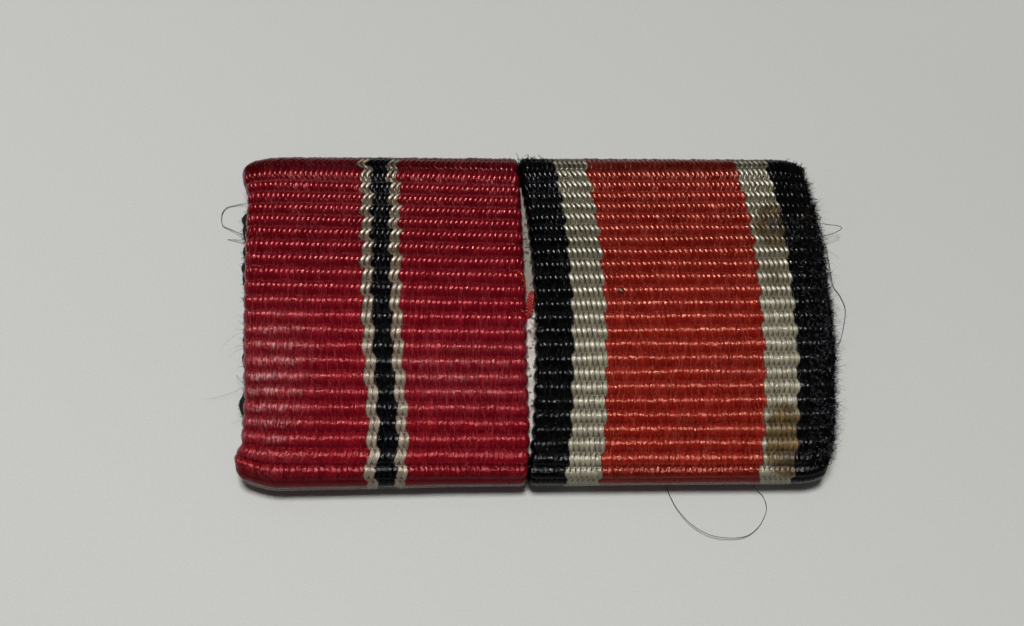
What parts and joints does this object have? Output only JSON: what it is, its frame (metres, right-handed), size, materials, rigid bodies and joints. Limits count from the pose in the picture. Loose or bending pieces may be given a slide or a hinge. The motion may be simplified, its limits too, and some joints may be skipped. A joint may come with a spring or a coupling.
{
  "type": "ribbon bar",
  "caption": "Crowned bar of striped woven medal ribbons wound side by side round a metal plate, with a felt backing and a brooch pin behind.",
  "frame": {"origin": "middle of the bar, on the surface that it rests on", "axes": "+X along the bar to the right ribbon, +Y up the face as the bar is worn, +Z out of the face"},
  "size_m": [0.0324, 0.019, 0.0042],
  "materials": {
    "plate": "old grey paint on sheet metal, rough and pitted",
    "ribbon_left": "silky rep weave, crimson with a white, black and white centre stripe, polished on the ribs",
    "ribbon_right": "silky rep weave, black, white, red, white and black stripes, stained and frayed at the outer edge",
    "felt": "worn black wool felt, fuzzy at its edges",
    "pin": "dull steel wire"
  },
  "bodies": {
    "root": {"plate": "plate", "ribbon_left": "ribbon_left", "ribbon_right": "ribbon_right", "felt_backing": "felt", "pin": "pin"}
  },
  "joints": []
}
